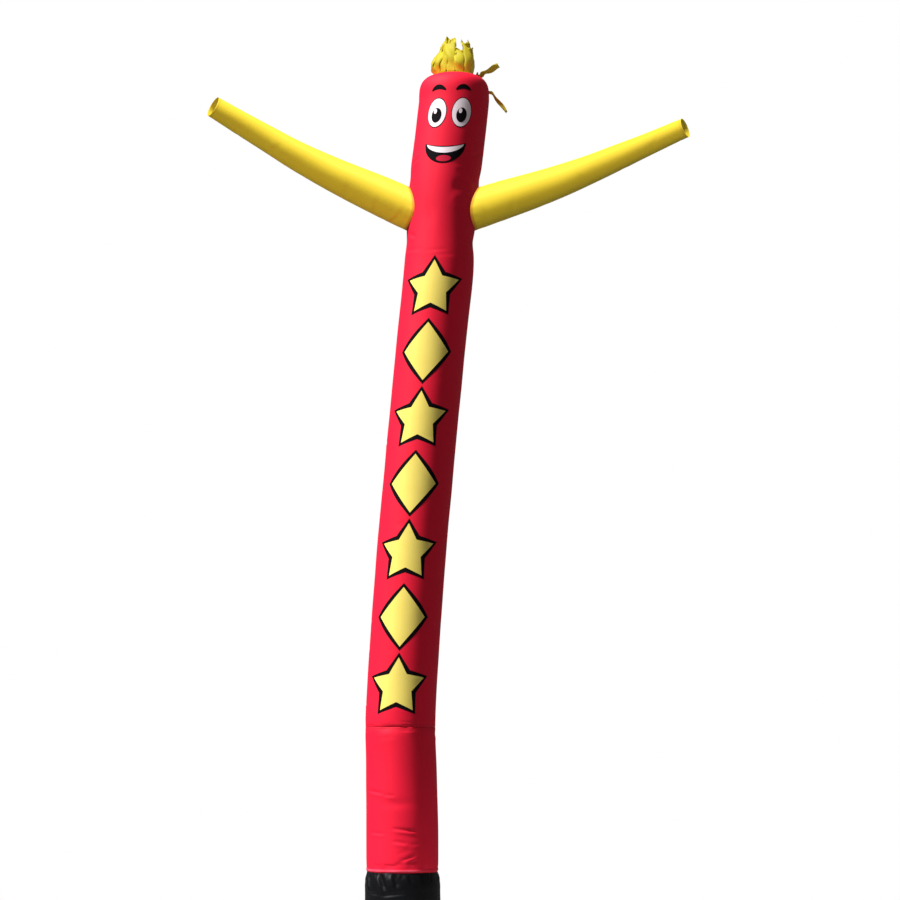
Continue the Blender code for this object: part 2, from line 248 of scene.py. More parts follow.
def through(points, steps):
    # a smooth curve through the given rows of numbers
    points = np.array(points, float)
    ends = np.vstack((2 * points[0] - points[1], points, 2 * points[-1] - points[-2]))
    curve = []
    for i in range(len(points) - 1):
        before, start, stop, after = ends[i : i + 4]
        for t in np.linspace(0, 1, steps, endpoint=False):
            curve.append(
                0.5 * (
                    2 * start + (stop - before) * t
                    + (2 * before - 5 * start + 4 * stop - after) * t**2
                    + (3 * start - before - 3 * stop + after) * t**3
                )
            )
    return np.array([*curve, points[-1]])


def clothMesh(name, points, uv, seam, around=True, thick=None, keep=None):
    # a grid of rows and columns as one sheet; seam is each point's distance from a sewn edge
    rows, columns = points.shape[:2]
    corners = []
    for i in range(rows - 1):
        for j in range(columns if around else columns - 1):
            if keep is None or keep[i, j]:
                corners.append((i, j))

    def at(i, j):
        return i * columns + j % columns

    faces = [(at(i, j), at(i, j + 1), at(i + 1, j + 1), at(i + 1, j)) for i, j in corners]
    mesh = bpy.data.meshes.new(name)
    mesh.from_pydata(points.reshape(-1, 3).tolist(), [], faces)
    layer = mesh.uv_layers.new(name="cloth")
    flat = []
    for i, j in corners:
        for row, column in ((i, j), (i, j + 1), (i + 1, j + 1), (i + 1, j)):
            flat.extend(uv[row, column])
    layer.data.foreach_set("uv", flat)
    mesh.attributes.new("seam", "FLOAT", "POINT").data.foreach_set("value", seam.ravel())
    if keep is not None:
        shape = bmesh.new()
        shape.from_mesh(mesh)
        loose = [vertex for vertex in shape.verts if not vertex.link_faces]
        bmesh.ops.delete(shape, geom=loose, context="VERTS")
        shape.to_mesh(mesh)
        shape.free()
    mesh.shade_smooth()
    sheet = bpy.data.objects.new(name, mesh)
    bpy.context.scene.collection.objects.link(sheet)
    if thick:
        wall = sheet.modifiers.new("cloth", "SOLIDIFY")
        wall.thickness = thick
        wall.offset = -1
    return sheet


def clothUv(points):
    # u round the sheet and v along it, in metres, from the mean ring and the mean line
    rows, columns = points.shape[:2]
    closed = np.concatenate((points, points[:, :1]), axis=1)
    across = np.linalg.norm(np.diff(closed, axis=1), axis=2).mean(axis=0)
    along = np.linalg.norm(np.diff(points, axis=0), axis=2).mean(axis=1)
    u = np.concatenate(([0], np.cumsum(across)))
    v = np.concatenate(([0], np.cumsum(along)))
    return np.stack(np.broadcast_arrays(u[None, :], v[:, None]), axis=-1)


def linear(hexColour):
    parts = [int(hexColour[i : i + 2], 16) / 255 for i in (1, 3, 5)]
    return [*(p / 12.92 if p <= 0.04045 else ((p + 0.055) / 1.055) ** 2.4 for p in parts), 1.0]


def addNode(tree, kind, inputs=None, **settings):
    # inputs are numbers or other nodes' outputs, by socket name or place
    node = tree.nodes.new(kind)
    for name, value in settings.items():
        setattr(node, name, value)
    for key, value in (inputs or {}).items():
        if isinstance(value, bpy.types.NodeSocket):
            tree.links.new(value, node.inputs[key])
        else:
            node.inputs[key].default_value = value
    return node


def calc(tree, operation, *values):
    return addNode(tree, "ShaderNodeMath", dict(enumerate(values)), operation=operation).outputs[0]


def blend(tree, share, first, second):
    # Mix has one set of sockets for each kind of data; 6 and 7 are its colours, 2 their result
    mix = addNode(tree, "ShaderNodeMix", {0: share, 6: first, 7: second}, data_type="RGBA")
    return mix.outputs[2]


def startMaterial(name):
    made = bpy.data.materials.new(name)
    made.use_nodes = True
    tree = made.node_tree
    tree.nodes.clear()
    where = addNode(tree, "ShaderNodeUVMap", uv_map="cloth").outputs["UV"]
    place = addNode(tree, "ShaderNodeTexCoord").outputs["Object"]
    return made, tree, where, place


def ripstopGrid(tree, where, line, pitch):
    return addNode(tree, "ShaderNodeTexBrick", {
        "Vector": where, "Scale": 1.0, "Mortar Size": line, "Mortar Smooth": 0.4,
        "Brick Width": pitch, "Row Height": pitch,
    }, offset=0.0).outputs["Fac"]


stitches = {"halfWide": 0.0013, "pitch": 0.014, "share": 0.7}


def nylonCloth(name, look):
    # Woven nylon: a tight plain weave crossed by thicker ripstop threads, calendered on one
    # face, so it has a soft broad shine. The real grid is 5 mm; it is drawn at 12 mm, and
    # stitches at 14 mm instead of 4 mm, because finer ones wouldn't show at this distance.
    made, tree, where, place = startMaterial(name)
    grid = ripstopGrid(tree, where, look["gridLine"], look["gridPitch"])
    slack = addNode(tree, "ShaderNodeTexNoise", {
        "Vector": place, "Scale": 7.0, "Detail": 4.0, "Roughness": 0.6,
    }).outputs["Fac"]
    patches = addNode(tree, "ShaderNodeTexNoise", {
        "Vector": place, "Scale": 1.6, "Detail": 2.0,
    }).outputs["Fac"]
    # colour: slow drift over the roll, faint grid, and doubled cloth at the hems
    colour = blend(tree, patches, linear(look["colour"]), linear(look["drift"]))
    lines = calc(tree, "MULTIPLY", grid, look["gridTint"])
    colour = blend(tree, lines, colour, linear(look["gridColour"]))
    fromSeam = addNode(tree, "ShaderNodeAttribute", attribute_name="seam").outputs["Fac"]
    hem = addNode(tree, "ShaderNodeMapRange", {
        "Value": fromSeam, "From Min": look["hem"] * 0.8, "From Max": look["hem"],
        "To Min": look["hemShare"], "To Max": 0.0,
    })
    colour = blend(tree, hem.outputs["Result"], colour, linear(look["hemColour"]))
    # turned edges of another colour, which on the lower panel's hem is partly a painted highlight;
    # "edge" is how much, and is nothing on other sheets
    turned = addNode(tree, "ShaderNodeAttribute", attribute_name="edge").outputs["Fac"]
    colour = blend(tree, turned, colour, linear(look["edge"]))
    # two rows of stitches beside each sewn edge, dashed along the cloth
    rows = []
    for row in look["stitchRows"]:
        off = calc(tree, "ABSOLUTE", calc(tree, "SUBTRACT", fromSeam, row))
        rows.append(calc(tree, "LESS_THAN", off, stitches["halfWide"]))
    along = addNode(tree, "ShaderNodeSeparateXYZ", {0: where}).outputs["X"]
    pace = calc(tree, "FRACT", calc(tree, "DIVIDE", along, stitches["pitch"]))
    dash = calc(tree, "LESS_THAN", pace, stitches["share"])
    dash = calc(tree, "MULTIPLY", dash, calc(tree, "MAXIMUM", *rows))
    colour = blend(tree, dash, colour, linear(look["thread"]))
    # relief: ripstop threads, stitches and the slack of thin cloth
    relief = calc(tree, "MULTIPLY", grid, 0.25)
    relief = calc(tree, "MULTIPLY_ADD", dash, 0.5, relief)
    relief = calc(tree, "MULTIPLY_ADD", slack, look["slack"], relief)
    bump = addNode(tree, "ShaderNodeBump", {
        "Height": relief, "Distance": 0.001, "Strength": look["bump"],
    })
    gloss = addNode(tree, "ShaderNodeMapRange", {
        "Value": slack, "From Min": 0.3, "From Max": 0.7,
        "To Min": look["roughness"] - 0.05, "To Max": look["roughness"] + 0.05,
    })
    shader = addNode(tree, "ShaderNodeBsdfPrincipled", {
        "Base Color": colour, "Roughness": gloss.outputs["Result"],
        "Normal": bump.outputs["Normal"], "Specular IOR Level": look["shine"],
    })
    addNode(tree, "ShaderNodeOutputMaterial", {"Surface": shader.outputs["BSDF"]})
    return made


# the red "edge" colour is the lower panel's pale hem, partly a painted highlight
redLook = {
    "colour": "#EE1036", "drift": "#E60E31", "gridColour": "#CC0C2A", "gridTint": 0.30,
    "hemColour": "#D80E2E", "thread": "#C40C28", "hem": 0.020, "hemShare": 0.4,
    "stitchRows": (0.006, 0.018), "gridPitch": 0.012, "gridLine": 0.0009, "edge": "#F0647E",
    "slack": 0.7, "bump": 0.6, "roughness": 0.66, "shine": 0.22,
}
yellowLook = {
    "colour": "#FAE234", "drift": "#F6DA30", "gridColour": "#E2BC22", "gridTint": 0.30,
    "hemColour": "#EFCB2C", "thread": "#DDB424", "hem": 0.018, "hemShare": 0.4,
    "stitchRows": (0.006, 0.016), "gridPitch": 0.012, "gridLine": 0.0009, "edge": "#DE8A26",
    "slack": 0.7, "bump": 0.6, "roughness": 0.60, "shine": 0.40,
}
blackLook = {
    "colour": "#08090C", "drift": "#07070A", "gridColour": "#0E0E12", "gridTint": 0.3,
    "hemColour": "#0A0A0D", "thread": "#222226", "hem": 0.030, "hemShare": 0.4,
    "stitchRows": (0.008, 0.024), "gridPitch": 0.008, "gridLine": 0.0010, "edge": "#3A3A40",
    "slack": 1.2, "bump": 0.7, "roughness": 0.42, "shine": 0.15,
}
redNylon = nylonCloth("red ripstop nylon, calendered", redLook)
yellowNylon = nylonCloth("yellow ripstop nylon, calendered", yellowLook)
blackNylon = nylonCloth("black packcloth nylon, coated", blackLook)
print("materials made")


cuff = {
    # height, radius
    "outline": (
        (0.000, 0.2430), (0.045, 0.2430), (0.110, 0.2475), (0.250, 0.2480),
        (0.330, 0.2472), (0.362, 0.2478), (0.396, 0.2450), (0.424, 0.2412),
        (0.446, 0.2360), (0.468, 0.2310),
    ),
    "thick": 0.0025,
    "columns": 160,
    "rowPitch": 0.006,
    "flatHem": 0.05,
    # bearing and height at both ends, half width, depth
    "creases": (
        (206, 0.456, 214, 0.330, 0.0130, 0.0120), (224, 0.452, 227, 0.400, 0.0050, 0.0050),
        (232, 0.458, 244, 0.330, 0.0150, 0.0140), (247, 0.450, 246, 0.404, 0.0050, 0.0040),
        (256, 0.456, 264, 0.350, 0.0140, 0.0100), (270, 0.450, 268, 0.404, 0.0060, 0.0040),
        (280, 0.448, 286, 0.380, 0.0110, 0.0060), (300, 0.450, 304, 0.380, 0.0090, 0.0070),
        (322, 0.448, 318, 0.384, 0.0070, 0.0060), (345, 0.450, 350, 0.376, 0.0070, 0.0070),
        (10, 0.450, 14, 0.380, 0.0070, 0.0070), (38, 0.450, 34, 0.372, 0.0070, 0.0070),
        (62, 0.450, 66, 0.384, 0.0070, 0.0070), (90, 0.450, 86, 0.376, 0.0070, 0.0070),
        (115, 0.450, 120, 0.380, 0.0070, 0.0070), (142, 0.450, 139, 0.372, 0.0070, 0.0070),
        (168, 0.450, 171, 0.380, 0.0070, 0.0070), (192, 0.450, 190, 0.384, 0.0070, 0.0070),
        (198, 0.322, 236, 0.314, 0.0080, 0.0050), (230, 0.304, 286, 0.330, 0.0110, 0.0040),
        (214, 0.250, 276, 0.226, 0.0110, 0.0045), (300, 0.270, 352, 0.240, 0.0110, 0.0050),
        (20, 0.300, 84, 0.280, 0.0110, 0.0060), (96, 0.220, 160, 0.250, 0.0110, 0.0060),
        (226, 0.130, 280, 0.146, 0.0110, 0.0040), (40, 0.140, 100, 0.120, 0.0110, 0.0050),
    ),
}


def makeCuff():
    heights = np.arange(0.0, tubeForm["cuffSeam"] + 0.004, cuff["rowPitch"])
    angles = np.linspace(0, 2 * math.pi, cuff["columns"], endpoint=False)
    height, angle = np.meshgrid(heights, angles, indexing="ij")
    bearing = np.degrees(angle)
    radius = smoothed(cuff["outline"], 1, height)
    # it is gathered with the lower panel's first puckers, and its hem lies round and flat
    radius = radius - puckerDepth(height, angle, tubeForm["puckers"][:2])
    slack = softStep(height / cuff["flatHem"])
    for row in cuff["creases"]:
        radius += creaseAt(bearing, height, row) * slack
    points = roundPoint(height, angle, radius)
    piece = clothMesh("cuff", points, clothUv(points), height, thick=cuff["thick"])
    piece.data.materials.append(blackNylon)
    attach(piece, "root")
    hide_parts("base_cuff")
    return piece


cuffPiece = makeCuff()
print("cuff made")


lowerPanel = {
    "columns": 144,
    # rows are closer within edgeBand of the hem and of the seam
    "edgeBand": 0.06, "hemPitch": 0.004, "pitch": 0.0085, "seamPitch": 0.005,
    # how far the rolled hem laps over the cuff, stands out, and turns in at the bottom
    "lap": 0.010, "hemOut": 0.0030, "hemIn": 0.0045, "hemHeight": 0.026,
    # the pale edge of the roll, partly paler turned cloth and partly a painted highlight: how
    # pale, from and to what height above the hem
    # and the bearing on the lit side round which the painted highlight is strongest
    "pale": 0.75, "paleFrom": 0.013, "paleTo": 0.024, "litPaleBearing": 235,
}


def makeLowerPanel():
    low, high = tubeForm["cuffSeam"] - lowerPanel["lap"], tubeForm["panelSeam"] - 0.0004
    band = lowerPanel["edgeBand"]
    heights = np.concatenate((
        np.arange(low, low + band, lowerPanel["hemPitch"]),
        np.arange(low + band, high - band, lowerPanel["pitch"]),
        np.arange(high - band, high - 0.002, lowerPanel["seamPitch"]), [high],
    ))
    angles = np.linspace(0, 2 * math.pi, lowerPanel["columns"], endpoint=False)
    height, angle = np.meshgrid(heights, angles, indexing="ij")
    # the rolled hem stands a little proud of the cuff and turns in under itself
    up = height - low
    roll = np.clip(up / lowerPanel["hemHeight"], 0, 1)
    proud = lowerPanel["hemOut"] * np.sin(math.pi * roll)
    proud -= lowerPanel["hemIn"] * (1 - softStep(roll * 2))
    points = tubePoint(height, angle, proud)
    seam = np.minimum(up, high - height)
    piece = clothMesh("lower_panel_cloth", points, clothUv(points), seam,
                      thick=tubeForm["clothThick"])
    # painted highlight: the pale edge is strongest on the lit side and fades out in the shade,
    # unevenly round the tube
    uneven = 0.75 + 0.25 * np.sin(9 * angle + 1.0) * np.sin(4 * angle)
    turn = abs(degreesFrom(np.degrees(angle), lowerPanel["litPaleBearing"]))
    uneven *= 1 - 0.8 * softStep((turn - 45) / 40)
    pale = lowerPanel["pale"] * uneven * softStep((lowerPanel["paleTo"] - up) / 0.004)
    pale *= softStep((up - lowerPanel["paleFrom"]) / 0.004 + 1)
    piece.data.attributes.new("edge", "FLOAT", "POINT").data.foreach_set("value", pale.ravel())
    piece.data.materials.append(redNylon)
    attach(piece, "root")
    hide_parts("lower_panel")
    return piece


lowerPiece = makeLowerPanel()
print("lower panel made")


arms = {
    # sideways, back, height, radius
    "left": (
        (0.262, 0.070, 4.772, 0.1400), (0.031, 0.070, 4.876, 0.1380),
        (-0.157, 0.055, 4.960, 0.1320), (-0.345, 0.028, 5.042, 0.1210),
        (-0.535, -0.010, 5.126, 0.1085), (-0.722, -0.060, 5.216, 0.0960),
        (-0.906, -0.122, 5.312, 0.0855), (-1.086, -0.200, 5.406, 0.0770),
        (-1.262, -0.290, 5.496, 0.0690),
    ),
    "right": (
        (0.246, 0.070, 4.790, 0.1380), (0.480, 0.070, 4.872, 0.1350),
        (0.675, 0.062, 4.935, 0.1285), (0.865, 0.045, 4.994, 0.1190),
        (1.053, 0.018, 5.055, 0.1080), (1.238, -0.020, 5.122, 0.0955),
        (1.422, -0.070, 5.192, 0.0855), (1.604, -0.132, 5.262, 0.0745),
        (1.785, -0.206, 5.330, 0.0670), (1.876, -0.250, 5.362, 0.0640),
    ),
    "columns": 88,
    "rows": 150,
    # share along the arm, turn in degrees from the top, half length, half turn, depth
    "leftCreases": (
        (0.020, 125, 0.010, 30, 0.004), (0.060, 215, 0.012, 30, 0.004),
        (0.110, 140, 0.014, 26, 0.003), (0.170, 215, 0.012, 26, 0.003),
        (0.330, 225, 0.016, 34, 0.002), (0.520, 130, 0.016, 30, 0.002),
        (0.690, 225, 0.014, 36, 0.002), (0.850, 135, 0.012, 30, 0.002),
        (0.050, 330, 0.010, 24, 0.002), (0.240, 70, 0.016, 24, 0.002),
    ),
    "rightCreases": (
        (0.020, 235, 0.010, 30, 0.004), (0.055, 130, 0.012, 30, 0.003),
        (0.100, 225, 0.014, 30, 0.003), (0.180, 135, 0.012, 26, 0.002),
        (0.300, 225, 0.016, 34, 0.002), (0.480, 130, 0.016, 30, 0.002),
        (0.640, 225, 0.014, 36, 0.002), (0.800, 130, 0.012, 36, 0.002),
        (0.920, 230, 0.010, 36, 0.002), (0.060, 20, 0.010, 24, 0.002),
    ),
    "rootGap": 0.0006,
    "rootPucker": 0.0020,
    "rootEdge": 0.75,
    "rootEdgeWide": 0.024,
}


def armCourse(side):
    rows = np.array(arms[side])
    course = through(rows, 24)
    centres = course[:, :3] + figureShift
    along = np.gradient(centres, axis=0)
    along /= np.linalg.norm(along, axis=1)[:, None]
    up = np.array((0, 0, 1.0)) - along * along[:, 2:3]
    up /= np.linalg.norm(up, axis=1)[:, None]
    return centres, course[:, 3], up, np.cross(along, up)


def armPoint(course, share, turn, out=0.0):
    # share is 0 at the arm's start, inside the body, and 1 at its mouth
    centres, sizes, up, side = course
    steps = len(centres) - 1
    at = np.clip(share, 0, 1) * steps
    i = np.minimum(at.astype(int), steps - 1)
    t = (at - i)[..., None]

    def between(values):
        return values[i] * (1 - t) + values[i + 1] * t

    radius = between(sizes[:, None]) + np.asarray(out)[..., None]
    outward = np.cos(turn)[..., None] * between(up) + np.sin(turn)[..., None] * between(side)
    return between(centres) + radius * outward


def outsideBody(points):
    # how far points lie outside the body's cloth
    sideways, back = tubeMiddle(points[..., 2])
    dx, dy = points[..., 0] - sideways, points[..., 1] - back
    angle = np.arctan2(dy, dx)
    return np.hypot(dx, dy) - tubeRadius(points[..., 2]) - clothDepth(points[..., 2], angle)


def makeArm(side, node):
    course = armCourse(side)
    turns = np.linspace(0, 2 * math.pi, arms["columns"], endpoint=False)
    # where each line along the arm leaves the body
    shares = np.linspace(0, 0.4, 500)
    tried = armPoint(course, shares[:, None], turns[None, :])
    gap = outsideBody(tried) - arms["rootGap"]
    last = gap.shape[0] - 1 - np.argmax((gap < 0)[::-1], axis=0)
    columns = np.arange(len(turns))
    below, above = gap[last, columns], gap[last + 1, columns]
    root = shares[last] + (shares[1] - shares[0]) * (-below) / (above - below)
    # rows are closer together at the root and at the mouth
    reach = np.linspace(0, 1, arms["rows"])
    reach -= 0.06 * np.sin(2 * math.pi * reach)
    share = root[None, :] + (1 - root[None, :]) * reach[:, None]
    turn = np.broadcast_to(turns[None, :], share.shape)
    degrees = np.degrees(turn)
    fromRoot = reach[:, None] * 1.5
    out = np.zeros(share.shape)
    pucker = 0.5 + 0.5 * np.cos(13 * turn + 0.7) * np.cos(4 * turn + 0.4)
    out -= arms["rootPucker"] * pucker * np.exp(-((fromRoot - 0.018) / 0.030) ** 2)
    for at, middle, half, halfTurn, most in arms[side + "Creases"]:
        around = degreesFrom(degrees, middle) / halfTurn
        tilt = 0.012 * np.sin(turn * 2 + at * 30)
        off = (reach[:, None] - at - tilt) / half
        out -= most * (np.exp(-(off**2)) - 0.5 * np.exp(-((off - 1.7) ** 2))) * np.exp(-around**2)
    out += 0.0008 * np.sin(3 * turn + 9 * reach[:, None]) * np.sin(14 * reach[:, None])
    points = armPoint(course, share, turn, out)
    lengths = np.linalg.norm(np.diff(points, axis=0), axis=2)
    along = np.concatenate((np.zeros((1, len(turns))), np.cumsum(lengths, axis=0)))
    seam = np.minimum(along, along[-1][None, :] - along)
    uv = clothUv(points)
    # columns run so that faces point outwards
    points, seam = points[:, ::-1], seam[:, ::-1]
    piece = clothMesh(node + "_cloth", points, uv, seam, thick=tubeForm["clothThick"])
    # the red cloth under it shows through the turned edge at the root
    edge = arms["rootEdge"] * softStep((arms["rootEdgeWide"] - along[:, ::-1]) / 0.014)
    piece.data.attributes.new("edge", "FLOAT", "POINT").data.foreach_set("value", edge.ravel())
    piece.data.materials.append(yellowNylon)
    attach(piece, "root")
    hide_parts(node)
    return piece, course


leftArm, leftCourse = makeArm("left", "arm_left")
rightArm, rightCourse = makeArm("right", "arm_right")
print("arms made")


body = {
    "columns": 128,
    # rows from one height to another and how far apart, then the number on the dome
    "rows": ((1.4004, 1.47, 0.005), (1.48, 4.46, 0.0165), (4.47, 5.26, 0.0095),
             (5.27, 5.615, 0.013)),
    "domeRows": 24,
    # the arm holes: their size as a share of the arm's, the heights and the degrees to each
    # side within which they lie, and the arm's radius and how many of its steps are near
    "holeShare": 0.955,
    "holeLow": 4.5,
    "holeHigh": 5.3,
    "holeTurn": 75,
    "armRadius": 0.135,
    "armSteps": 90,
}


def armShare(points, course):
    # distance from the arm's middle line as a share of its radius there
    centres, sizes = course[0][:body["armSteps"]], course[1][:body["armSteps"]]
    flat = points.reshape(-1, 3)
    away = np.linalg.norm(flat[:, None, :] - centres[None, :, :], axis=2)
    nearest = away.argmin(axis=1)
    return (away.min(axis=1) / sizes[nearest]).reshape(points.shape[:-1])


def makeBody():
    low = tubeForm["panelSeam"] + 0.0004
    heights = np.concatenate((
        [low], *(np.arange(*part) for part in body["rows"]), [tubeForm["domeStart"]],
        domeRows(body["domeRows"]),
    ))
    angles = np.linspace(0, 2 * math.pi, body["columns"], endpoint=False)
    height, angle = np.meshgrid(heights, angles, indexing="ij")
    points = tubePoint(height, angle)
    lengths = np.linalg.norm(np.diff(points, axis=0), axis=2).mean(axis=1)
    fromVent = np.concatenate((np.cumsum(lengths[::-1])[::-1], [0]))
    seam = np.minimum(height - low, fromVent[:, None])
    keep = np.ones((len(heights) - 1, len(angles)), bool)
    for course, middle in ((leftCourse, 180), (rightCourse, 0)):
        near = (height > body["holeLow"]) & (height < body["holeHigh"])
        near &= abs(degreesFrom(np.degrees(angle), middle)) < body["holeTurn"]
        # 9 stands for far from the arm
        share = np.full(height.shape, 9.0)
        share[near] = armShare(points[near], course)
        seam = np.minimum(seam, np.maximum(0, (share - 1.0) * body["armRadius"]) + 0.0001)
        inside = share < body["holeShare"]
        hit = inside[:-1] & inside[1:]
        hit &= np.roll(inside[:-1], -1, axis=1) & np.roll(inside[1:], -1, axis=1)
        keep &= ~hit
    piece = clothMesh("body_and_head_cloth", points, clothUv(points), seam,
                      thick=tubeForm["clothThick"], keep=keep)
    piece.data.materials.append(redNylon)
    return piece


bodyPiece = makeBody()
print("body and head made")


motifs = {
    "bearing": 263,
    "outline": 0.021,
    "lift": 0.0009,
    # shape, height of its middle, half height
    "column": (
        ("star", 4.300, 0.190), ("diamond", 3.875, 0.195), ("star", 3.420, 0.190),
        ("diamond", 2.995, 0.195), ("star", 2.540, 0.190), ("diamond", 2.115, 0.195),
        ("star", 1.660, 0.190),
    ),
    # how far in a star's dips lie, and how wide a diamond is, for its half height
    "dip": 0.53,
    "wide": 0.80,
    # the black edge is measured outwards from the middle, and looks thinner the more its
    # side slants, so it is drawn this many times as wide
    "outlineShare": {"star": 1.5, "diamond": 1.25},
}


def inkedCloth(name, hexColour, hexDrift, shine):
    # Screen ink soaked into the nylon: flat colour, duller than the bare cloth, and the
    # ripstop grid still shows through
    made, tree, where, place = startMaterial(name)
    grid = ripstopGrid(tree, where, redLook["gridLine"], redLook["gridPitch"])
    uneven = addNode(tree, "ShaderNodeTexNoise", {"Vector": place, "Scale": 9.0, "Detail": 3.0})
    colour = blend(tree, uneven.outputs["Fac"], linear(hexColour), linear(hexDrift))
    bump = addNode(tree, "ShaderNodeBump", {"Height": grid, "Distance": 0.0003, "Strength": 0.5})
    shader = addNode(tree, "ShaderNodeBsdfPrincipled", {
        "Base Color": colour, "Normal": bump.outputs["Normal"],
        "Roughness": 0.62, "Specular IOR Level": shine,
    })
    addNode(tree, "ShaderNodeOutputMaterial", {"Surface": shader.outputs["BSDF"]})
    return made


yellowInk = inkedCloth("yellow screen ink on nylon", "#F6E070", "#F0D664", 0.10)
blackInk = inkedCloth("black screen ink on nylon", "#0C0A0D", "#100D12", 0.04)
# the white is pinkish: partly red cloth showing through thin ink, partly a painted red glow of
# light passing through the cloth
whiteInk = inkedCloth("white screen ink on nylon, pink with painted red glow", "#FAEAEF", "#F4E2E9", 0.10)
rosyInk = inkedCloth("rose screen ink on nylon", "#D0213F", "#C61B38", 0.10)


def shapeOutline(kind, half, count):
    # distance of the outline from the motif's middle, for count turns from the top
    turns = np.linspace(0, 2 * math.pi, count, endpoint=False)
    if kind == "star":
        wedge = abs((turns + math.pi / 5) % (2 * math.pi / 5) - math.pi / 5)
        dipX = half * motifs["dip"] * math.cos(math.pi / 5)
        dipY = half * motifs["dip"] * math.sin(math.pi / 5)
        away = half * dipY / (dipY * np.cos(wedge) - (dipX - half) * np.sin(wedge))
    elif kind == "diamond":
        wide = half * motifs["wide"]
        away = 1 / (abs(np.cos(turns)) / half + abs(np.sin(turns)) / wide)
    else:
        away = np.full(count, half)
    return turns, away


def addFace(shape, uvLayer, corners, spots, ink):
    made = shape.faces.new(corners)
    made.material_index = ink
    for loop, spot in zip(made.loops, spots):
        loop[uvLayer].uv = spot


def addPatch(shape, turns, rings, centre, lift, spread=(1.0, 1.0)):
    # a patch in rings from its middle, laid on the tube's own surface; each ring is its
    # distance from the middle at every turn, and the ink up to it
    uvLayer = shape.loops.layers.uv.verify()
    bearing, height = centre
    middle = math.radians(bearing)
    laid = []
    for reach, ink in rings:
        sideways = np.sin(turns) * reach * spread[0]
        at = height + np.cos(turns) * reach * spread[1]
        spots = tubePoint(at, middle + sideways / tubeRadius(at), lift)
        flat = np.stack((sideways + 1.0, at), axis=-1)
        laid.append(([shape.verts.new(p) for p in spots.tolist()], flat, ink))
    first = shape.verts.new(tubePoint(height, middle, lift).tolist())
    inner, innerUv, innerInk = laid[0]
    for i in range(len(turns)):
        j = (i + 1) % len(turns)
        addFace(shape, uvLayer, (first, inner[j], inner[i]),
                ((1.0, height), innerUv[j], innerUv[i]), innerInk)
        for (low, lowUv, _), (high, highUv, ink) in zip(laid, laid[1:]):
            addFace(shape, uvLayer, (low[i], low[j], high[j], high[i]),
                    (lowUv[i], lowUv[j], highUv[j], highUv[i]), ink)


def makeMotifs():
    yellow, black = range(2)
    shape = bmesh.new()
    for kind, height, half in motifs["column"]:
        turns, away = shapeOutline(kind, half, 120)
        rings = [(away * share, yellow) for share in np.linspace(0.1, 1.0, 14)]
        grown = (away + motifs["outline"] * motifs["outlineShare"][kind]) / away
        rings.append((away * (1 + (grown - 1) * 0.5), black))
        rings.append((away * grown, black))
        addPatch(shape, turns, rings, (motifs["bearing"], height), motifs["lift"])
    return shape


def addPrintPiece(name, shape, inks):
    shape.normal_update()
    for side in shape.faces:
        middle = side.calc_center_median()
        sideways, back = tubeMiddle(middle.z)
        if side.normal.dot(Vector((middle.x - sideways, middle.y - back, 0))) < 0:
            side.normal_flip()
    mesh = bpy.data.meshes.new(name)
    shape.to_mesh(mesh)
    shape.free()
    mesh.uv_layers[0].name = "cloth"
    mesh.shade_smooth()
    for ink in inks:
        mesh.materials.append(ink)
    piece = bpy.data.objects.new(name, mesh)
    bpy.context.scene.collection.objects.link(piece)
    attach(piece, "root")
    return piece


motifPiece = addPrintPiece("printed_motifs", makeMotifs(), [yellowInk, blackInk])
print("motifs made")


face = {
    "bearing": 265,
    "headRadius": 0.2385,
    "lift": 0.0010,
    # ink on ink lies this much further out
    "coat": 0.0008,
    "eyeHeight": 5.492,
    "eyeApart": 0.086,
    # sideways and up from where it belongs, half size, then how wide and how tall for that
    "eye": (0.000, 0.000, 0.076, 0.86, 1.28),
    "pupil": (0.000, -0.018, 0.036, 1.0, 1.4),
    "glint": (-0.010, 0.010, 0.013, 0.9, 1.3),
    "tongue": (0.000, -0.076, 0.050, 1.0, 0.42),
    "eyeRim": 0.005,
    "browHeight": 5.648,
    "browHalf": 0.052,
    "browRise": 0.022,
    "browThick": 0.016,
    "mouthHeight": 5.252,
    "mouthHalf": 0.135,
    "mouthBow": 0.024,
    "mouthDeep": 0.100,
    "mouthRim": 0.008,
    "mouthWide": 1.06,
    "teethDeep": 0.038,
    "teethWide": 0.96,
}


def addDisc(shape, ink, sideways, height, disc, coats, rimInk=None):
    right, up, half, wide, tall = disc
    turns, away = shapeOutline("disc", half, 56)
    rings = [(away * share, ink) for share in (0.25, 0.5, 0.75, 1.0)]
    if rimInk is not None:
        rings.append((away + face["eyeRim"], rimInk))
    bearing = face["bearing"] + math.degrees((sideways + right) / face["headRadius"])
    lift = face["lift"] + coats * face["coat"]
    addPatch(shape, turns, rings, (bearing, height + up), lift, (wide, tall))


def addBand(shape, ink, along, low, high, coats, rows):
    # a strip from one line of heights to another, over the same sideways distances
    uvLayer = shape.loops.layers.uv.verify()
    lift = face["lift"] + coats * face["coat"]
    grid = []
    for share in np.linspace(0, 1, rows):
        at = low * (1 - share) + high * share
        spots = tubePoint(at, math.radians(face["bearing"]) + along / tubeRadius(at), lift)
        flat = np.stack((along, at), axis=-1)
        grid.append(([shape.verts.new(p) for p in spots.tolist()], flat))
    for (under, underUv), (over, overUv) in zip(grid, grid[1:]):
        for i in range(len(under) - 1):
            addFace(shape, uvLayer, (under[i], under[i + 1], over[i + 1], over[i]),
                    (underUv[i], underUv[i + 1], overUv[i + 1], overUv[i]), ink)


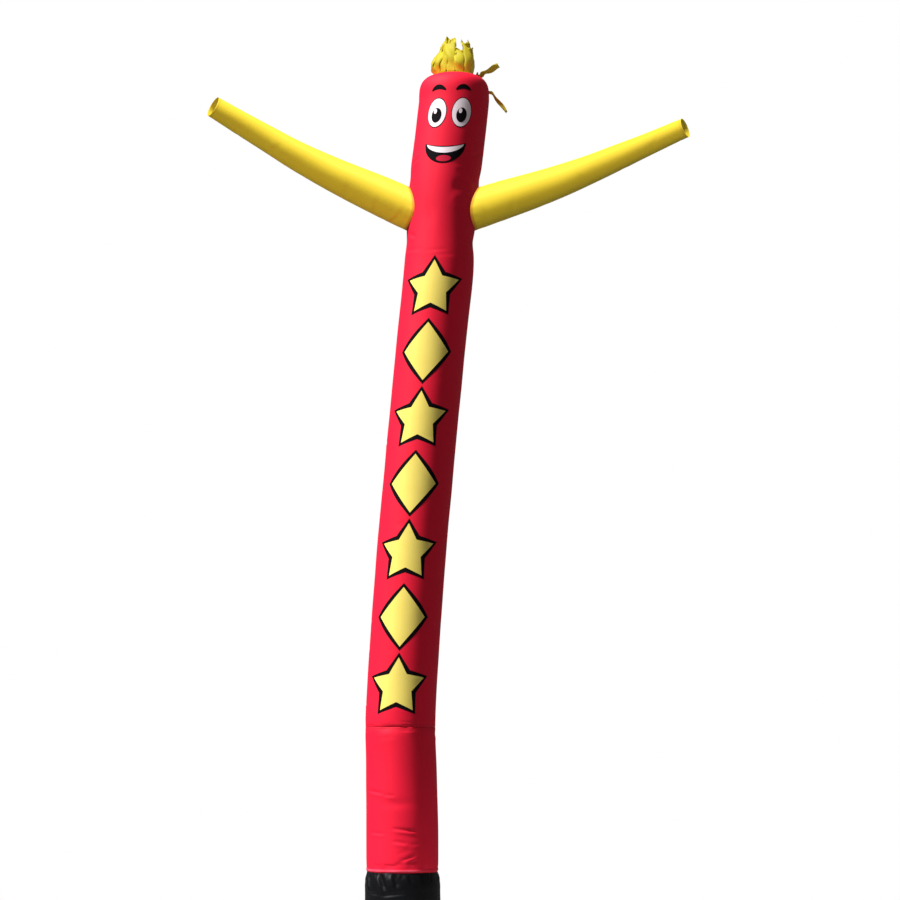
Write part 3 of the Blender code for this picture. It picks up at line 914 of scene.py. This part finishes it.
def makeFace():
    # a plain smiling face: oval eyes that look ahead, arched brows and a half-moon mouth
    white, black, rose = range(3)
    shape = bmesh.new()
    for sideways in (-face["eyeApart"], face["eyeApart"]):
        addDisc(shape, white, sideways, face["eyeHeight"], face["eye"], 0, black)
        addDisc(shape, black, sideways, face["eyeHeight"], face["pupil"], 1)
        addDisc(shape, white, sideways, face["eyeHeight"], face["glint"], 2)
        half = face["browHalf"]
        along = np.linspace(-half, half, 17)
        brow = face["browHeight"] + face["browRise"] * (1 - (along / half) ** 2)
        blunt = np.sqrt(np.clip(1 - (along / (half + 0.0015)) ** 2, 0, 1))
        thick = face["browThick"] * blunt + 0.001
        addBand(shape, black, along + sideways, brow - thick, brow + thick, 0, 4)
    half = face["mouthHalf"]
    along = np.linspace(-half, half, 41)
    curve = 1 - (along / half) ** 2
    moon = np.sqrt(np.clip(curve, 0, 1))
    top = face["mouthHeight"] + face["mouthBow"] * (1 - curve)
    bottom = top - face["mouthDeep"] * moon - 0.001
    teeth = top - face["teethDeep"] * moon - 0.0006
    rim = face["mouthRim"]
    addBand(shape, black, along * face["mouthWide"], bottom - rim, top + rim, 0, 12)
    addBand(shape, white, along * face["teethWide"], teeth, top, 1, 6)
    addDisc(shape, rose, 0.0, face["mouthHeight"], face["tongue"], 1)
    return shape


facePiece = addPrintPiece("printed_face", makeFace(), [whiteInk, blackInk, rosyInk])
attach(bodyPiece, "root")
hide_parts("body_and_head")
print("face made")


hair = {
    "radius": 0.128,
    "bandWidth": 0.020,
    # how far the strips' roots and the band stand off the dome
    "rootLift": 0.0015,
    "bandLift": 0.0022,
    "thick": 0.0012,
    "clothLong": 0.27,
    "wide": 1.36,
    "tipWide": 0.80,
    "cup": 0.26,
    "sway": 0.006,
    "wave": 0.0065,
    "tipCurl": 0.020,
    # bearing, width, knee out, knee up, top out, sway and up, tip out, sway and up, twist
    "strips": (
        (5, 0.056, 0.002, 0.006, 0.112, 0.000, 0.172, -0.010, 0.000, 0.010, 10),
        (62, 0.054, 0.014, 0.008, 0.094, 0.000, 0.132, 0.020, 0.000, -0.034, 8),
        (90, 0.054, 0.014, 0.008, 0.082, 0.000, 0.126, 0.020, 0.000, -0.034, -8),
        (118, 0.054, 0.014, 0.008, 0.086, 0.000, 0.160, 0.020, 0.000, -0.036, 8),
        (150, 0.060, 0.034, -0.010, 0.078, 0.000, 0.166, 0.020, 0.000, -0.030, -8),
        (182, 0.064, 0.036, -0.018, 0.078, 0.000, 0.172, -0.010, 0.000, 0.010, 14),
        (208, 0.066, 0.034, -0.012, 0.072, 0.000, 0.180, 0.012, 0.000, -0.030, 8),
        (232, 0.056, 0.018, -0.004, 0.072, 0.000, 0.200, 0.014, 0.000, -0.036, -6),
        (260, 0.056, 0.008, 0.006, 0.080, -0.006, 0.212, 0.016, 0.000, -0.040, 6),
        (287, 0.056, 0.012, 0.006, 0.096, 0.000, 0.146, 0.018, 0.000, -0.034, -6),
        (314, 0.056, 0.008, 0.006, 0.104, 0.006, 0.194, 0.016, 0.000, -0.040, 6),
        (341, 0.056, 0.002, 0.006, 0.102, -0.004, 0.188, 0.014, 0.000, -0.036, -6),
        (24, 0.044, 0.000, 0.010, 0.178, -0.038, 0.006, 0.100, -0.075, 0.062, -50),
        (43, 0.036, 0.012, 0.016, 0.238, -0.077, -0.082, 0.105, -0.072, -0.150, 20),
    ),
}


def stripPoints(row, vent):
    bearing, width, kneeOut, kneeUp, topOut, topSway, topUp, tipOut, tipSway, tipUp, twist = row
    turn = math.radians(bearing)
    out = Vector((math.cos(turn), math.sin(turn), 0))
    sway = Vector((-math.sin(turn), math.cos(turn), 0))
    up = Vector((0, 0, 1))
    drop = domeHeight(hair["radius"]) - domeHeight(0.0)
    root = out * hair["radius"] + up * (drop + hair["rootLift"])
    top = out * topOut + sway * topSway + up * topUp
    tip = top + out * tipOut + sway * tipSway + up * tipUp
    knee = root.lerp(top, 0.45) + out * kneeOut + up * kneeUp
    bend = top.lerp(tip, 0.35) + up * (hair["tipCurl"] if tipUp < 0 else 0.0)
    path = through([list(p) for p in (root, knee, top, bend, tip)], 7)
    path = [Vector(p) for p in path.tolist()]
    last = len(path) - 1
    for i, point in enumerate(path):
        # no strip hangs straight: each bends a little its own way above its root
        free = min(1, i / 8)
        point += sway * hair["sway"] * free * math.sin(5.2 * i / last + bearing)
        point += out * hair["sway"] * 0.7 * free * math.sin(6.4 * i / last + 2.1 * bearing)
    grid = []
    for i, point in enumerate(path):
        along = (path[min(i + 1, last)] - path[max(i - 1, 0)]).normalized()
        side = (sway - along * sway.dot(along)).normalized()
        side.rotate(Quaternion(along, math.radians(twist) * i / last))
        front = side.cross(along).normalized()
        free = min(1, i / 6)
        wide = width * (1 + (hair["wide"] - 1) * free)
        wide *= 1 - (1 - hair["tipWide"]) * (i / last) ** 3
        # it is cupped round the vent and lies flatter where its tip folds over
        cupped = hair["cup"] * width * (1 - 0.9 * float(softStep((i / last - 0.25) / 0.3)))
        line = []
        for share in (-1, -0.66, -0.33, 0, 0.33, 0.66, 1):
            cup = cupped * (1 - share * share)
            wave = hair["wave"] * math.sin(i * 0.8 + share * 2.6 + bearing)
            across = side * wide / 2 * share
            line.append(list(vent + point + across + front * (cup + wave) * free))
        grid.append(line)
    return np.array(grid)


def makeHair():
    sideways, back = tubeMiddle(np.array(tubeForm["domeStart"]))
    vent = Vector((float(sideways), float(back), domeHeight(0.0)))
    pieces = []
    for row in hair["strips"]:
        points = stripPoints(row, vent)
        rows, columns = points.shape[:2]
        u = np.linspace(0, row[1], columns)
        v = np.linspace(0, hair["clothLong"], rows)
        uv = np.stack(np.broadcast_arrays(u[None, :], v[:, None]), axis=-1)
        # no seam shows on a strip
        seam = np.broadcast_to(v[:, None] + 0.05, (rows, columns)).copy()
        pieces.append(clothMesh("strip", points, uv, seam, around=False))
    # the narrow band round the vent that their roots are fused to
    turns = np.linspace(0, 2 * math.pi, 96, endpoint=False)
    edge = hair["bandWidth"] / 2
    outs = np.linspace(hair["radius"] + edge, hair["radius"] - edge, 4)
    out, turn = np.meshgrid(outs, turns, indexing="ij")
    points = roundPoint(domeHeight(out) + hair["bandLift"], turn, out)
    pieces.append(clothMesh("band", points, clothUv(points), np.full(points.shape[:2], 0.01)))
    bpy.ops.object.select_all(action="DESELECT")
    for piece in pieces:
        piece.select_set(True)
    bpy.context.view_layer.objects.active = pieces[0]
    bpy.ops.object.join()
    piece = bpy.context.view_layer.objects.active
    piece.name = "hair_strips"
    piece.data.name = "hair_strips"
    piece.data.materials.clear()
    piece.data.materials.append(yellowNylon)
    wall = piece.modifiers.new("cloth", "SOLIDIFY")
    wall.thickness = hair["thick"]
    wall.offset = 0
    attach(piece, "root")
    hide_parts("hair")
    return piece


hairPiece = makeHair()
print("hair made")


stage = {
    "floorRadius": 1.2,
    "floorColour": "#B4B4B4",
    # bearing is from the front, left of it below 0; height and spread are in degrees too
    "key": {"bearing": -65, "height": 50, "strength": 7.5, "spread": 9, "colour": (1, 1, 1)},
    "hairKey": {"bearing": -40, "height": 52, "strength": 3.5, "spread": 20,
                "colour": (0.88, 0.98, 1.0)},
    "armKey": {"bearing": 10, "height": 67, "strength": 4.6, "spread": 24, "colour": (1, 1, 1)},
    "armFill": {"bearing": -35, "height": 5, "strength": 1.15, "spread": 30,
                "colour": (1.0, 0.84, 0.62)},
    "sky": 0.18,
    "camera": (0.0084, -17.990, 1.5),
    "pitch": 5.5,
    "halfView": 9.42,
}


def addSun(name, pieces, state="INCLUDE"):
    # it lights these pieces only, or all but these
    light = stage[name]
    sunData = bpy.data.lights.new(name, "SUN")
    sunData.energy = light["strength"]
    sunData.angle = math.radians(light["spread"])
    sunData.color = light["colour"]
    sun = bpy.data.objects.new(name, sunData)
    turn, lift = math.radians(light["bearing"]), math.radians(light["height"])
    toSun = Vector((math.sin(turn) * math.cos(lift), -math.cos(turn) * math.cos(lift),
                    math.sin(lift)))
    sun.rotation_euler = toSun.to_track_quat("Z", "Y").to_euler()
    sun.location = toSun * 8
    bpy.context.scene.collection.objects.link(sun)
    linked = bpy.data.collections.new(name + " " + state.lower())
    for piece in pieces:
        linked.objects.link(piece)
    for entry in linked.collection_objects:
        entry.light_linking.link_state = state
    sun.light_linking.receiver_collection = linked


def makeFloor():
    bpy.ops.object.select_all(action="DESELECT")
    bpy.ops.mesh.primitive_cylinder_add(vertices=128, radius=stage["floorRadius"], depth=0.04,
                                        location=(0, 0, -0.02))
    floor = bpy.context.active_object
    floor.name = "floor"
    paint = bpy.data.materials.new("matt white floor paint")
    paint.use_nodes = True
    shader = paint.node_tree.nodes["Principled BSDF"]
    shader.inputs["Base Color"].default_value = linear(stage["floorColour"])
    shader.inputs["Roughness"].default_value = 0.9
    floor.data.materials.append(paint)


def makeWorld():
    # dim for the cloth and white for the camera
    world = bpy.data.worlds.new("white studio")
    bpy.context.scene.world = world
    world.use_nodes = True
    tree = world.node_tree
    tree.nodes.clear()
    ray = addNode(tree, "ShaderNodeLightPath")
    dim = addNode(tree, "ShaderNodeBackground", {"Color": (1, 1, 1, 1), "Strength": stage["sky"]})
    seen = addNode(tree, "ShaderNodeBackground", {"Color": (1, 1, 1, 1), "Strength": 1.0})
    both = addNode(tree, "ShaderNodeMixShader", {
        0: ray.outputs["Is Camera Ray"], 1: dim.outputs[0], 2: seen.outputs[0],
    })
    addNode(tree, "ShaderNodeOutputWorld", {"Surface": both.outputs[0]})


def makeCamera():
    cameraData = bpy.data.cameras.new("camera")
    cameraData.sensor_width = 36
    cameraData.lens = 18 / math.tan(math.radians(stage["halfView"]))
    cameraData.clip_end = 200
    camera = bpy.data.objects.new("camera", cameraData)
    camera.location = stage["camera"]
    camera.rotation_euler = (math.radians(90 + stage["pitch"]), 0, 0)
    bpy.context.scene.collection.objects.link(camera)
    bpy.context.scene.camera = camera


makeFloor()
addSun("key", (leftArm, rightArm, hairPiece), "EXCLUDE")
addSun("hairKey", (hairPiece,))
addSun("armKey", (leftArm, rightArm))
addSun("armFill", (leftArm, rightArm))
# the arms' own light isn't thrown back on the body, which is in shade beside them
for arm in (leftArm, rightArm):
    arm.visible_diffuse = False
makeWorld()
makeCamera()
bpy.context.scene.view_settings.view_transform = "Standard"
print("stage made")
